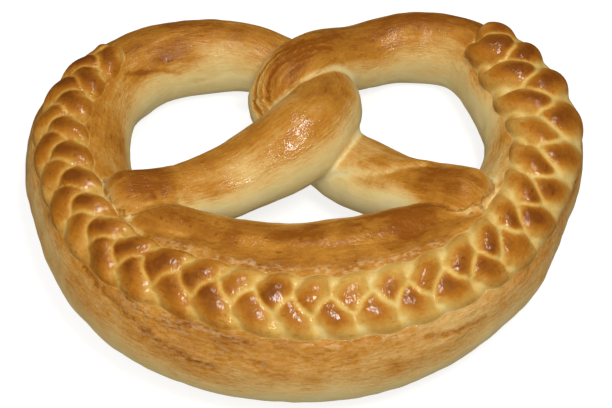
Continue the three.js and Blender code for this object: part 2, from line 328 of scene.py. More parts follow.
@dataclass
class PlaitShape:
    """How the three strands swing, rise and lean on the ring."""

    rope: Rope
    strands: int = 3
    starts: float = 67.0
    step: float = 58.0
    samples: int = 1171
    first_turn: float = -0.45
    early: float = 0.15
    straight: float = 0.111
    weave: float = 0.45
    sunk: float = 2.0
    uneven_high: float = 0.10
    uneven_wide: float = 0.16
    comes_up: Span = (0.38, 0.60)
    dips: Span = (0.72, 1.20)
    pinch: float = 16.0
    pinched: float = 0.75
    squeezed: float = 0.55
    swollen: float = 1.16
    # How much of a strand's half width reaches past its swing, and how its top is domed.
    reach: float = 0.66
    dome_power: float = 0.62
    dome_ends: float = 0.99
    dome_falls: float = 2.5
    # The dough that fills the valleys between the strands, fuller by the front's outer edge.
    web: float = 3.8
    web_sunk: float = 1.0
    web_past: float = 1.5
    web_ends: Span = (-4.0, 8.0)
    fuller: float = 0.8
    fuller_along: Span = (380.0, 480.0)
    fuller_aside: Span = (-5.0, 10.0)
    # Where two strands meet, the valley is rounded off by this much, over this difference in height.
    rounded: float = 1.0
    rounded_over: float = 4.0

    def __post_init__(self) -> None:
        """Measures how far the strands have turned all along the plait."""
        self.line = Line(np.array(PLAIT_ROWS, float))
        self.length = self.step * self.line.last
        self.ways = np.linspace(0.0, self.length, self.samples)
        rate = 1.0 / (self.strands * self.sizes(self.ways)[:, 0])
        steps = (rate[1:] + rate[:-1]) / 2 * np.diff(self.ways)
        self.turned = 2 * np.pi * np.concatenate([[0.0], np.cumsum(steps)])

    def sizes(self, way: np.ndarray) -> np.ndarray:
        """The plait's row of sizes at a distance along it."""
        return self.line.at(way / self.step)

    def ring_frames(self, way: np.ndarray) -> Frames:
        """The ring's frames under the plait."""
        return self.rope.frames(self.rope.row_at(self.rope.distance(RING_FROM) + self.starts + way))

    def lean(self, way: np.ndarray) -> np.ndarray:
        """How far the plait's middle lies outward of the ring's top, in radians."""
        return np.radians(self.sizes(way)[..., 1])

    def sway(self, way: np.ndarray) -> np.ndarray:
        """How far a strand swings to each side, less where the strands come together at the ends.

        Args:
            way: Distances along the plait.

        Returns:
            The swing at each.
        """
        to_end = np.minimum(way, self.length - way)
        share = self.pinched + (1 - self.pinched) * smoothstep(to_end, 0.0, self.pinch)
        return self.sizes(way)[..., 2] * share

    def half_span(self, way: np.ndarray) -> np.ndarray:
        """How far the plait reaches to each side of its middle."""
        return self.sway(way) + self.reach * self.sizes(way)[..., 3]

    def beside(self, way: np.ndarray, strand: int) -> np.ndarray:
        """How far a strand's middle line lies beside the plait's middle."""
        turn = self.turn(way, strand)
        return self.sway(way) * (np.cos(turn) + self.straight * np.cos(3 * turn)) / (1 + self.straight)

    def turn(self, way: np.ndarray, strand: int) -> np.ndarray:
        """How far a strand has turned through its swing."""
        return np.interp(way, self.ways, self.turned) + self.first_turn + 2 * np.pi * strand / self.strands

    def surface(self, way: np.ndarray, aside: np.ndarray, height: np.ndarray) -> np.ndarray:
        """Finds points over the ring.

        Args:
            way: Distances along the plait.
            aside: Distances outward of its middle.
            height: Heights over the ring's skin.

        Returns:
            The points.
        """
        f = self.ring_frames(way)
        base, out = f.skin(self.lean(way) + aside / np.sqrt(f.wide * f.high))
        return base + out * height[:, None]

    def nearest(self, way: np.ndarray, aside: np.ndarray, strand: int) -> tuple[np.ndarray, np.ndarray]:
        """Finds the closest place on a strand's middle line.

        Args:
            way: Distances along the plait.
            aside: Distances outward of its middle.
            strand: Which strand.

        Returns:
            How far along the closest place lies, and how far off it is, less than 0 on its inner side.
        """
        centre = np.clip(way, 0.0, self.length)
        near = np.full(len(way), FAR_OFF)
        for reach, step in ((24.0, 2.0), (2.0, 0.5), (0.5, 0.125)):
            start = centre
            for offset in np.arange(-reach, reach + step / 2, step):
                there = np.clip(start + offset, 0.0, self.length)
                gap = np.hypot(way - there, aside - self.beside(there, strand))
                nearer = gap < near
                near = np.where(nearer, gap, near)
                centre = np.where(nearer, there, centre)
        return centre, near * np.where(aside > self.beside(centre, strand), 1.0, -1.0)

    def over(self, swing: np.ndarray) -> np.ndarray:
        """How far a strand lies on top: it comes up at the middle, and dips slowly towards the edge."""
        late = np.where(swing < self.comes_up[0], swing + 1.0, swing)
        return band(late, self.comes_up, self.dips)

    def strand_top(self, way: np.ndarray, aside: np.ndarray, strand: int, chance: np.ndarray) -> np.ndarray:
        """Finds how high one strand stands at each place.

        Args:
            way: Distances along the plait.
            aside: Distances outward of its middle.
            strand: Which strand.
            chance: How much wider and higher each lobe is than most.

        Returns:
            Five rows: the height, how far through its swing the strand is, how far beside its
            middle line the place is, the lobe's number, and how far the strand lies on top.
        """
        there, off = self.nearest(way, aside, strand)
        turn = self.turn(there, strand)
        cycle = (2 * turn + self.early) / (2 * np.pi)
        over = self.over(cycle % 1.0)
        lobe = self.strands * np.floor(cycle) + strand
        luck = chance[np.mod(lobe, LOBE_CHANCES).astype(int)] * over[:, None]
        half, high = self.sizes(there)[:, 3:5].T
        high = high * (1 + self.uneven_high * luck[:, 1])
        share = np.abs(off) / (half * (self.squeezed + (self.swollen - self.squeezed) * over))
        share = share / (1 + self.uneven_wide * luck[:, 0])
        dome = np.maximum(1 - share**2, 0.0) ** self.dome_power
        dome = dome - self.dome_falls * np.maximum(share - self.dome_ends, 0.0)
        rise = self.weave * high * (2 * over - 1) - self.sunk
        return np.stack([rise + high * dome, cycle % 1.0, share * np.sign(off), lobe, over])

    def relief(self, way: np.ndarray, aside: np.ndarray) -> Relief:
        """Finds the strand on top at each place, and how high it stands over the ring.

        Args:
            way: Distances along the plait.
            aside: Distances outward of its middle.

        Returns:
            The relief at each place.
        """
        chance = np.random.default_rng(11).uniform(-1.0, 1.0, (LOBE_CHANCES, 2))
        stack = np.array([self.strand_top(way, aside, strand, chance) for strand in range(self.strands)])
        order = np.argsort(-stack[:, 0], axis=0)
        first = np.take_along_axis(stack, order[0][None, None, :], axis=0)[0]
        second = np.take_along_axis(stack[:, 0], order[1][None, :], axis=0)[0]
        inside = np.clip(way, 0.0, self.length)
        ends = smoothstep(np.minimum(way, self.length - way), *self.web_ends)
        span = np.abs(aside) / (self.half_span(inside) + self.web_past)
        fuller = 1 + self.fuller * smoothstep(way, *self.fuller_along) * smoothstep(aside, *self.fuller_aside)
        web = self.web * fuller * ends * np.maximum(1 - span**2, 0.0) ** 0.5 - self.web_sunk
        crease = first[0] - second
        second = np.maximum(second, web)
        proud = first[0] - second
        valley = np.maximum(1 - np.abs(proud) / self.rounded_over, 0.0) ** 2
        height = np.maximum(first[0], second) + self.rounded * valley
        return Relief(height, crease, proud, first[1], first[2], first[3], first[4])


class Clay:
    """A mesh worked like clay: made by operators, then pushed about vertex by vertex."""

    def __init__(self, name: str) -> None:
        """Starts with nothing.

        Args:
            name: What the piece is called.
        """
        self.name = name
        self.form = bmesh.new()
        self.object: bpy.types.Object | None = None

    def tube(self, frames: Frames, sides: int, end_steps: int = 8) -> None:
        """Adds a closed tube with rounded ends, in metres.

        Args:
            frames: Where its sections are, in millimetres.
            sides: How many corners a section has.
            end_steps: How many smaller sections round each end off.
        """
        count = len(frames.wide)
        turns = [np.pi / 2 * k / end_steps for k in range(1, end_steps)]
        first = [(0, np.cos(t), -np.sin(t)) for t in reversed(turns)]
        last = [(count - 1, np.cos(t), np.sin(t)) for t in turns]
        before: list[bmesh.types.BMEdge] = []
        for index, shrink, push in [*first, *((i, 1.0, 0.0) for i in range(count)), *last]:
            place = self.section_matrix(frames, index, shrink, push)
            made = bmesh.ops.create_circle(
                self.form, cap_ends=False, segments=sides, radius=1.0, matrix=place
            )
            edges = sorted({e for v in made["verts"] for e in v.link_edges}, key=lambda e: e.index)
            if before:
                bmesh.ops.bridge_loops(self.form, edges=before + edges)
            else:
                bmesh.ops.holes_fill(self.form, edges=edges, sides=0)
            before = edges
        bmesh.ops.holes_fill(self.form, edges=before, sides=0)

    @staticmethod
    def section_matrix(frames: Frames, index: int, shrink: float, push: float) -> Matrix:
        """Finds the matrix that lays a unit circle onto one section.

        Args:
            frames: The tube's frames.
            index: Which of them.
            shrink: How much smaller the section is, as towards a rounded end.
            push: How far it is moved along, in shares of the rounded end.

        Returns:
            The matrix, in metres.
        """
        across = frames.across[index] * frames.wide[index] * shrink
        above = frames.above[index] * frames.high[index] * shrink
        along = frames.along[index]
        centre = frames.centre[index] + along * frames.high[index] * push * Rope.blunt
        columns = np.stack([across, above, along, centre], axis=1) * MM
        return Matrix([*columns.tolist(), [0.0, 0.0, 0.0, 1.0]])

    def flatten(self, floor: float = 0.0) -> None:
        """Lifts all that reaches below the floor up to it."""
        for vertex in self.form.verts:
            vertex.co.z = max(vertex.co.z, floor)

    def join(self, voxel: float) -> None:
        """Bakes all tubes into one even skin.

        Args:
            voxel: About how long its faces are, in millimetres.
        """
        bmesh.ops.recalc_face_normals(self.form, faces=self.form.faces[:])
        rough = bpy.data.meshes.new(self.name + "_rough")
        self.form.to_mesh(rough)
        self.form.free()
        holder = bpy.data.objects.new(self.name + "_rough", rough)
        bpy.context.scene.collection.objects.link(holder)
        remesh = holder.modifiers.new("skin", "REMESH")
        remesh.mode = "VOXEL"
        remesh.voxel_size = voxel * MM
        graph = bpy.context.evaluated_depsgraph_get()
        mesh = bpy.data.meshes.new_from_object(holder.evaluated_get(graph))
        bpy.data.objects.remove(holder)
        bpy.data.meshes.remove(rough)
        mesh.name = self.name
        self.stand(mesh)

    def settle(self) -> None:
        """Makes the form an object as it is."""
        mesh = bpy.data.meshes.new(self.name)
        self.form.to_mesh(mesh)
        self.form.free()
        self.stand(mesh)

    def stand(self, mesh: bpy.types.Mesh) -> None:
        """Puts a mesh into the scene as this clay's object.

        Args:
            mesh: The mesh.
        """
        self.object = bpy.data.objects.new(self.name, mesh)
        bpy.context.scene.collection.objects.link(self.object)
        self.measure()

    def sheet(self, columns: int, rows: int) -> None:
        """Makes a closed double sheet from -1 to 1 both ways, its upper layer at 1 and the lower at 0.

        Args:
            columns: How many faces it has from side to side.
            rows: How many faces it has from end to end.
        """
        bmesh.ops.create_grid(self.form, x_segments=columns, y_segments=rows, size=1.0)
        raised = bmesh.ops.extrude_face_region(self.form, geom=self.form.faces[:], use_keep_orig=True)
        for part in raised["geom"]:
            if isinstance(part, bmesh.types.BMVert):
                part.co.z = 1.0
        bmesh.ops.recalc_face_normals(self.form, faces=self.form.faces[:])
        self.put_in_order()

    def put_in_order(self) -> None:
        """Sorts edges and faces by their corners, because extruding leaves them in any order."""
        corners = self.form.verts
        corners.index_update()
        count = len(corners)

        def ends(part: bmesh.types.BMEdge | bmesh.types.BMFace) -> int:
            """One number for its lowest and its highest corner."""
            numbers = [corner.index for corner in part.verts]
            return min(numbers) * count + max(numbers)

        self.form.edges.sort(key=ends)
        self.form.faces.sort(key=ends)

    def measure(self) -> None:
        """Reads the corners, the normals and the edges."""
        mesh = self.object.data
        count = len(mesh.vertices)
        flat = np.empty(count * 3, np.float32)
        mesh.vertices.foreach_get("co", flat)
        self.points = flat.reshape(-1, 3).astype(float) / MM
        mesh.vertex_normals.foreach_get("vector", flat)
        self.normals = flat.reshape(-1, 3).astype(float)
        pairs = np.empty(len(mesh.edges) * 2, np.int32)
        mesh.edges.foreach_get("vertices", pairs)
        self.edges = pairs.reshape(-1, 2)
        self.ways = np.maximum(np.bincount(self.edges.ravel(), minlength=count), 1).astype(float)

    def write(self) -> None:
        """Writes the corners back into the mesh and measures it anew."""
        mesh = self.object.data
        mesh.vertices.foreach_set("co", (self.points * MM).astype(np.float32).ravel())
        mesh.update()
        self.measure()

    def spread(self, values: np.ndarray, times: int, share: float = 0.5) -> np.ndarray:
        """Evens values out between neighbours.

        Args:
            values: One number or one vector for each vertex.
            times: How often.
            share: How much of the neighbours' mean is taken each time.

        Returns:
            The evened values.
        """
        flat = values.ndim == 1
        spread = (values[:, None] if flat else values).astype(float)
        one, two = self.edges[:, 0], self.edges[:, 1]
        count = len(spread)
        for _ in range(times):
            sums = [
                np.bincount(one, column[two], count) + np.bincount(two, column[one], count)
                for column in spread.T
            ]
            spread = spread + share * (np.stack(sums, axis=1) / self.ways[:, None] - spread)
        return spread[:, 0] if flat else spread

    def soften(self, times: int, inward: float = 0.55, outward: float = 0.45) -> None:
        """Smooths the skin, with little shrinking.

        Args:
            times: How often.
            inward: How much of the neighbours' mean is taken at first.
            outward: How much of it is given back then.
        """
        for _ in range(times):
            self.points = self.spread(self.points, 1, inward)
            self.points = self.spread(self.points, 1, -outward)
        self.write()

    def hollows(self, even: np.ndarray, outward: np.ndarray) -> np.ndarray:
        """How deep each vertex lies below the evened skin, in millimetres."""
        return np.sum((even - self.points) * outward, axis=1)

    def fill_valleys(self, times: int, deep: Span = (0.08, 0.40)) -> None:
        """Rounds off the sharp valleys where stretches of dough touch.

        Args:
            times: How often.
            deep: Between which depths a hollow comes to count as a valley.
        """
        for _ in range(times):
            even = self.spread(self.points, 4)
            share = self.spread(smoothstep(self.hollows(even, self.normals), *deep), 2)
            self.points = self.points + (even - self.points) * share[:, None]
            self.write()

    def push(self, distance: np.ndarray) -> None:
        """Moves each vertex out along its normal, but never below the floor.

        Args:
            distance: How far each one goes.
        """
        self.points = self.points + self.normals * distance[:, None]
        self.points[:, 2] = np.maximum(self.points[:, 2], 0.0)
        self.write()

    def keep(self, name: str, values: np.ndarray) -> None:
        """Stores values as an attribute of the mesh.

        Args:
            name: What the attribute is called.
            values: One number or one vector for each vertex.
        """
        single = values.ndim == 1
        made = self.object.data.attributes.new(name, "FLOAT" if single else "FLOAT_VECTOR", "POINT")
        made.data.foreach_set("value" if single else "vector", values.astype(np.float32).ravel())


@dataclass
class Place:
    """Where each vertex lies on the rope.

    It holds the row, the run and the lean, how far the vertex is from the section's centre in
    shares of the section, how near the next stretch of rope is, and how far across it lies.
    """

    row: np.ndarray
    run: np.ndarray
    lean: np.ndarray
    ratio: np.ndarray
    gap: np.ndarray
    across: np.ndarray

    @staticmethod
    def on(rope: Rope, points: np.ndarray) -> "Place":
        """Finds each point's place on the rope, and its distance from the next stretch that it nears.

        Args:
            rope: The rope.
            points: Points near its surface, in millimetres.

        Returns:
            The points' places.
        """
        past, apart, other_rows, batch = 18.0, 6.0, 2.2, 20000
        total = rope.lengths[-1]
        run = np.linspace(-past, total + past, int((total + 2 * past) / apart))
        rows = rope.row_at(run)
        f = rope.sections(run)
        best = np.empty(len(points), int)
        gap = np.empty(len(points))
        for start in range(0, len(points), batch):
            p = points[start : start + batch]
            local = [p @ axis.T - np.sum(f.centre * axis, axis=1) for axis in (f.along, f.across, f.above)]
            ratio = np.hypot(local[1] / f.wide, local[2] / f.high)
            off = np.abs(ratio - 1) * np.sqrt(f.wide * f.high)
            cost = off + 1.5 * np.maximum(np.abs(local[0]) - 4.0, 0.0)
            first = np.argmin(cost, axis=1)
            best[start : start + batch] = first
            elsewhere = np.abs(rows[None, :] - rows[first][:, None]) > other_rows
            gap[start : start + batch] = np.min(np.where(elsewhere, cost, FAR_OFF), axis=1)
        g = f.pick(best)
        shift = np.sum((points - g.centre) * g.along, axis=1)
        place = np.clip(run[best] + np.clip(shift, -8.0, 8.0), -past, total + past)
        row = rope.row_at(place)
        g = rope.sections(place)
        side = np.sum((points - g.centre) * g.across, axis=1) / g.wide
        top = np.sum((points - g.centre) * g.above, axis=1) / g.high
        lean = np.degrees(np.arctan2(side, top))
        return Place(row, place, lean, np.hypot(side, top), gap, side * g.wide)


def light_on(clay: Clay, tree: BVHTree, rays: int, reach: float) -> np.ndarray:
    """How open the oven's heat reaches each vertex.

    Args:
        clay: The mesh.
        tree: All that can stand in the way.
        rays: How many ways are tried from each vertex.
        reach: How far away a thing still shades, in millimetres.

    Returns:
        From 0, shut in, to 1, open.
    """
    upright, lift = 0.9, 0.3
    golden = np.pi * (3 - np.sqrt(5))
    steps = (np.arange(rays) + 0.5) / rays
    radius, height = np.sqrt(steps), np.sqrt(1 - steps)
    turns = golden * np.arange(rays)
    spread = np.stack([radius * np.cos(turns), radius * np.sin(turns), height], axis=1)
    n = clay.normals
    helper = np.where(np.abs(n[:, 2:]) < upright, UP, np.array([1.0, 0.0, 0.0]))
    side = unit(np.cross(helper, n))
    other = np.cross(n, side)
    start = (clay.points + n * lift) * MM
    far = reach * MM
    open_ways = np.zeros(len(n))
    for a, b, c in spread:
        ways = side * a + other * b + n * c
        for i, (origin, way) in enumerate(zip(start.tolist(), ways.tolist())):
            # the floor shades as well, where a way reaches it
            limit = far if way[2] >= 0 else min(far, -origin[2] / way[2])
            found = tree.ray_cast(origin, way, limit)[3]
            hit = limit if found is None else found
            open_ways[i] += min(1.0, hit / far)
    return open_ways / rays


def light_tree(*clays: Clay) -> BVHTree:
    """Builds a search tree over some meshes' faces, in metres.

    Args:
        clays: The meshes.

    Returns:
        The tree.
    """
    corners: list[tuple[float, ...]] = []
    faces: list[tuple[int, ...]] = []
    for clay in clays:
        start = len(corners)
        corners.extend((clay.points * MM).tolist())
        faces.extend(tuple(start + i for i in face.vertices) for face in clay.object.data.polygons)
    return BVHTree.FromPolygons(corners, faces)


class Paint:
    """A material in the making, with short ways to add to its nodes."""

    def __init__(self, name: str) -> None:
        """Starts a material with its shader.

        Args:
            name: What the material is called.
        """
        self.material = bpy.data.materials.new(name)
        self.material.use_nodes = True
        self.nodes = self.material.node_tree.nodes
        self.links = self.material.node_tree.links
        self.shader = self.nodes["Principled BSDF"]

    def put(self, source: Value, socket: Socket) -> None:
        """Gives a socket what another one says, or a number of its own.

        Args:
            source: The other socket, or the number.
            socket: The one that gets it.
        """
        if isinstance(source, Socket):
            self.links.new(source, socket)
        else:
            socket.default_value = source

    def feed(self, name: str, source: Value) -> None:
        """Gives one of the shader's inputs a number, or what a socket says."""
        self.put(source, self.shader.inputs[name])

    def attribute(self, name: str, output: str = "Fac") -> Socket:
        """Reads one of the mesh's attributes.

        Args:
            name: What it is called.
            output: Fac for a number, or Vector.

        Returns:
            The socket that gives it.
        """
        node = self.nodes.new("ShaderNodeAttribute")
        node.attribute_name = name
        return node.outputs[output]

    def math(self, operation: str, *values: Value) -> Socket:
        """Works with sockets and numbers.

        Args:
            operation: What is done with them.
            values: The sockets and numbers, in order.

        Returns:
            The result.
        """
        node = self.nodes.new("ShaderNodeMath")
        node.operation = operation
        for socket, value in zip(node.inputs, values):
            self.put(value, socket)
        return node.outputs["Value"]

    def pattern(self, source: Socket, mottle: "Mottle") -> Socket:
        """Adds a noise from 0 to 1.

        Args:
            source: The coordinates, in metres.
            mottle: Its scale and detail.

        Returns:
            The noise.
        """
        mapping = self.nodes.new("ShaderNodeMapping")
        mapping.inputs["Scale"].default_value = mottle.scale
        self.links.new(source, mapping.inputs["Vector"])
        node = self.nodes.new("ShaderNodeTexNoise")
        node.inputs["Scale"].default_value = 1.0
        node.inputs["Detail"].default_value = mottle.detail
        node.inputs["Roughness"].default_value = 0.55
        self.links.new(mapping.outputs["Vector"], node.inputs["Vector"])
        return node.outputs["Fac"]

    def rising(self, source: Socket, span: Span, results: Span) -> Socket:
        """Rises smoothly from one number to another.

        Args:
            source: What it follows.
            span: Between which of the source's numbers it rises.
            results: From which number, and to which.

        Returns:
            The result.
        """
        node = self.nodes.new("ShaderNodeMapRange")
        node.interpolation_type = "SMOOTHSTEP"
        node.inputs["From Min"].default_value, node.inputs["From Max"].default_value = span
        node.inputs["To Min"].default_value, node.inputs["To Max"].default_value = results
        self.links.new(source, node.inputs["Value"])
        return node.outputs["Result"]

    def ramp(self, source: Socket, tones: tuple[tuple[float, Triple], ...]) -> Socket:
        """Turns a number into a colour.

        Args:
            source: The number.
            tones: The colours, each with the number that it stands for.

        Returns:
            The colour.
        """
        node = self.nodes.new("ShaderNodeValToRGB")
        stops = node.color_ramp.elements
        while len(stops) < len(tones):
            stops.new(0.5)
        for stop, (position, colour) in zip(stops, tones):
            stop.position = position
            stop.color = (*colour, 1.0)
        self.links.new(source, node.inputs["Fac"])
        return node.outputs["Color"]

    def mixed(self, share: Socket, base: Socket, other: Triple) -> Socket:
        """Mixes another colour into one.

        Args:
            share: How much of the other colour there is.
            base: The first colour.
            other: The other colour.

        Returns:
            The mixture.
        """
        node = self.nodes.new("ShaderNodeMix")
        node.data_type = "RGBA"
        factor = [s for s in node.inputs if s.type == "VALUE" and s.name == "Factor"]
        first, second = [s for s in node.inputs if s.type == "RGBA"]
        self.links.new(share, factor[0])
        self.links.new(base, first)
        second.default_value = (*other, 1.0)
        return [s for s in node.outputs if s.type == "RGBA"][0]


@dataclass(frozen=True)
class Mottle:
    """A noise in the crust: its scale each way, for each metre, its detail, and how much it counts."""

    scale: Triple
    detail: float
    share: float = 1.0


@dataclass(frozen=True)
class Crust:
    """An egg-washed crust: its colours from pale to dark, and how rough and wrinkled it is."""

    name: str
    tones: tuple[tuple[float, Triple], ...]
    rough: float
    coat: float
    coat_rough: float
    wrinkle: float
    grain: Grain
    evenly: float
    streaky: float
    crumb: Triple = (0.62, 0.40, 0.18)
    # What mottles the colour. The streaks are weaker where the crust is matt.
    streaks: Mottle = Mottle((34.0, 190.0, 60.0), 3.0, 0.22)
    matt_streaks: float = -0.30
    fine: Mottle = Mottle((90.0, 800.0, 200.0), 3.0, 0.8)
    blotches: Mottle = Mottle((70.0, 70.0, 70.0), 5.0, 0.36)
    specks: Mottle = Mottle((420.0, 420.0, 420.0), 2.0, 0.14)
    flecks: Mottle = Mottle((150.0, 420.0, 300.0), 2.0, 0.10)
    fleck_span: Span = (0.60, 0.72)
    # Where the skin tore, the crumb shows through in shreds.
    shreds: Mottle = Mottle((260.0, 700.0, 500.0), 2.0, 0.85)
    shred_span: Span = (0.36, 0.62)
    shred_bump: float = 1.4
    matt_rough: float = 0.35
    speck_rough: float = 0.12
    # How the egg wash lies: in patches, and glassy.
    wash: Mottle = Mottle((90.0, 90.0, 90.0), 3.0)
    wash_span: Span = (0.38, 0.54)
    wash_glass: float = 1.7
    dry_specular: float = 0.12
    # The fine wrinkles, which are stronger where it baked brown, and weaker where it shines.
    wrinkles_along: Mottle = Mottle((170.0, 520.0, 300.0), 2.0)
    wrinkles_round: Mottle = Mottle((520.0, 260.0, 300.0), 2.0)
    pimples: Mottle = Mottle((520.0, 520.0, 520.0), 2.0, 0.5)
    shining: float = -0.56
    brown_span: Span = (0.25, 0.65)
    brown_wrinkle: Span = (0.15, 1.0)
    wrinkle_depth: float = 0.0012

    def material(self) -> bpy.types.Material:
        """Builds the material from the attributes bake, grain, matt, torn and gloss.

        Returns:
            The material.
        """
        paint = Paint(self.name)
        place = paint.nodes.new("ShaderNodeTexCoord").outputs["Object"]
        grain = paint.attribute("grain", "Vector")
        specks = paint.pattern(place, self.specks)
        tone = self.tone(paint, place, grain, specks)
        torn = paint.attribute("torn")
        shreds = paint.pattern(grain, self.shreds)
        ragged = paint.math("MULTIPLY", torn, paint.rising(shreds, self.shred_span, (0.0, self.shreds.share)))
        paint.feed("Base Color", paint.mixed(ragged, paint.ramp(tone, self.tones), self.crumb))
        matt = paint.math("MULTIPLY", paint.math("ADD", paint.attribute("matt"), torn), self.matt_rough)
        speckled = paint.math("ADD", self.rough, paint.math("MULTIPLY", specks, self.speck_rough))
        paint.feed("Roughness", paint.math("ADD", matt, speckled))
        self.wash_over(paint, place)
        height = paint.math("ADD", self.wrinkled(paint, place, grain), self.crumbs(paint, torn, shreds))
        self.bump(paint, tone, height)
        return paint.material

    def tone(
        self,
        paint: Paint,
        place: Socket,
        grain: Socket,
        specks: Socket,
    ) -> Socket:
        """Mottles how brown the crust baked.

        Args:
            paint: The material.
            place: The coordinates in the room.
            grain: The coordinates along the dough.
            specks: The finest noise.

        Returns:
            From 0, pale, to 1, dark.
        """
        weaker, most = self.matt_streaks * self.streaky, self.streaks.share * self.streaky
        strength = paint.math("MULTIPLY_ADD", paint.attribute("matt"), weaker, most)
        tone = paint.attribute("bake")
        for noise_of, share in (
            (paint.pattern(grain, self.streaks), strength),
            (paint.pattern(place, self.blotches), self.blotches.share),
            (paint.pattern(grain, self.fine), paint.math("MULTIPLY", strength, self.fine.share)),
            (specks, self.specks.share),
        ):
            uneven_by = paint.math("MULTIPLY", paint.math("SUBTRACT", noise_of, 0.5), share)
            tone = paint.math("ADD", tone, uneven_by)
        flecks = paint.rising(paint.pattern(grain, self.flecks), self.fleck_span, (0.0, self.flecks.share))
        return paint.math("ADD", tone, flecks)

    def wash_over(self, paint: Paint, place: Socket) -> None:
        """Lays the egg wash over the crust.

        Args:
            paint: The material.
            place: The coordinates in the room.
        """
        dull = self.coat * self.evenly
        patches = paint.rising(paint.pattern(place, self.wash), self.wash_span, (dull, self.coat))
        paint.feed("Coat Weight", paint.math("MULTIPLY", patches, paint.attribute("gloss")))
        paint.feed("Coat Roughness", self.coat_rough)
        paint.feed("Coat IOR", self.wash_glass)
        paint.feed("Specular IOR Level", self.dry_specular)

    def wrinkled(
        self, paint: Paint, place: Socket, grain: Socket
    ) -> Socket:
        """The height of the fine wrinkles and pimples.

        Args:
            paint: The material.
            place: The coordinates in the room.
            grain: The coordinates along the dough.

        Returns:
            The height, of about 1.
        """
        wrinkles = self.wrinkles_along if self.grain is Grain.ALONG else self.wrinkles_round
        pimples = paint.math("MULTIPLY", paint.pattern(place, self.pimples), self.pimples.share)
        return paint.math("ADD", paint.pattern(grain, wrinkles), pimples)

    def crumbs(
        self, paint: Paint, torn: Socket, shreds: Socket
    ) -> Socket:
        """The height of the crumb where the skin tore."""
        return paint.math("MULTIPLY", paint.math("MULTIPLY", torn, shreds), self.shred_bump)

    def bump(self, paint: Paint, tone: Socket, height: Socket) -> None:
        """Wrinkles the crust and the wash on it.

        Args:
            paint: The material.
            tone: How brown it baked.
            height: The height of the wrinkles.
        """
        node = paint.nodes.new("ShaderNodeBump")
        node.inputs["Distance"].default_value = self.wrinkle_depth
        less = paint.math("MULTIPLY_ADD", paint.attribute("gloss"), self.shining * self.wrinkle, self.wrinkle)
        brown = paint.rising(tone, self.brown_span, self.brown_wrinkle)
        paint.links.new(paint.math("MULTIPLY", brown, less), node.inputs["Strength"])
        paint.links.new(height, node.inputs["Height"])
        paint.feed("Normal", node.outputs["Normal"])
        paint.feed("Coat Normal", node.outputs["Normal"])


ROPE_CRUST = Crust(
    name="rope_crust",
    tones=(
        (0.0, (0.67, 0.565, 0.30)),
        (0.25, (0.63, 0.495, 0.21)),
        (0.5, (0.58, 0.37, 0.12)),
        (0.75, (0.42, 0.175, 0.018)),
        (1.0, (0.22, 0.062, 0.002)),
    ),
    rough=0.5,
    coat=1.0,
    coat_rough=0.06,
    wrinkle=0.8,
    grain=Grain.ALONG,
    evenly=0.15,
    streaky=1.0,
)
PLAIT_CRUST = Crust(
    name="plait_crust",
    tones=(
        (0.0, (0.62, 0.54, 0.30)),
        (0.25, (0.60, 0.45, 0.17)),
        (0.5, (0.54, 0.315, 0.065)),
        (0.75, (0.37, 0.130, 0.008)),
        (1.0, (0.17, 0.044, 0.002)),
    ),
    rough=0.5,
    coat=0.42,
    coat_rough=0.10,
    wrinkle=0.8,
    grain=Grain.ROUND,
    evenly=0.7,
    streaky=0.45,
)


@dataclass(frozen=True)
class Crease:
    """A line folded, pressed or torn into the rope's skin.

    The path is given as places on the rope: millimetres along it and degrees from its top. A step
    lifts the skin on the path's right, and nicks break the line into dots.
    """

    path: tuple[Span, ...]
    width: float
    depth: float
    step: float = 0.0
    jagged: float = 0.6
    nicks: float = 0.0
    pale: float = 0.0
    torn: float = 0.0
    step_width: float = 9.0
    step_soft: float = 1.5
    nick_size: float = 4.5
    pale_width: float = 0.9

    def reach(self, rope: Rope, place: Place, points: np.ndarray) -> tuple[np.ndarray, np.ndarray]:
        """How far each point is from the line, and how far to its right.

        Args:
            rope: The rope.
            place: Where the points are on it.
            points: The points themselves, for the line's unevenness.

        Returns:
            The distance and the signed distance, in millimetres.
        """
        f = rope.frames(place.row)
        scale = np.radians(1.0) * np.sqrt(f.wide * f.high)
        x = place.run + self.jagged * uneven(points, 5.0, 1.3)
        y = place.lean * scale + self.jagged * uneven(points, 4.0, 7.7)
        near = np.full(len(x), FAR_OFF)
        side = np.zeros(len(x))
        for (x0, lean0), (x1, lean1) in zip(self.path, self.path[1:]):
            y0, y1 = lean0 * scale, lean1 * scale
            dx, dy = x1 - x0, y1 - y0
            long = np.maximum(dx * dx + dy * dy, 1e-6)
            t = np.clip(((x - x0) * dx + (y - y0) * dy) / long, 0.0, 1.0)
            off_x, off_y = x - x0 - t * dx, y - y0 - t * dy
            gap = np.hypot(off_x, off_y)
            nearer = gap < near
            near = np.where(nearer, gap, near)
            side = np.where(nearer, (off_x * dy - off_y * dx) / np.sqrt(long), side)
        return near, side

    def lift(self, near: np.ndarray, side: np.ndarray, points: np.ndarray) -> np.ndarray:
        """How far the skin rises by the line, or sinks.

        Args:
            near: How far each point is from the line.
            side: How far it is to the line's right.
            points: The points themselves, for the nicks.

        Returns:
            The heights.
        """
        line = bell(near, self.width / 2)
        if self.nicks:
            line = line * smoothstep(uneven(points, self.nick_size, 5.5), -self.nicks, self.nicks)
        step = self.step * bell(near, self.step_width) * np.tanh(side / self.step_soft)
        return step - self.depth * line


@dataclass(frozen=True)
class Spot:
    """A round patch of the rope where something is stronger, or weaker."""

    run: float
    lean: float
    along: float
    round: float
    more: float

    def on(self, place: Place) -> np.ndarray:
        """How much stronger it makes each place.

        Args:
            place: The places.

        Returns:
            A number for each of them.
        """
        x = (place.run - self.run) / self.along
        y = (place.lean - self.lean) / self.round
        return self.more * np.exp(-(x * x + y * y))


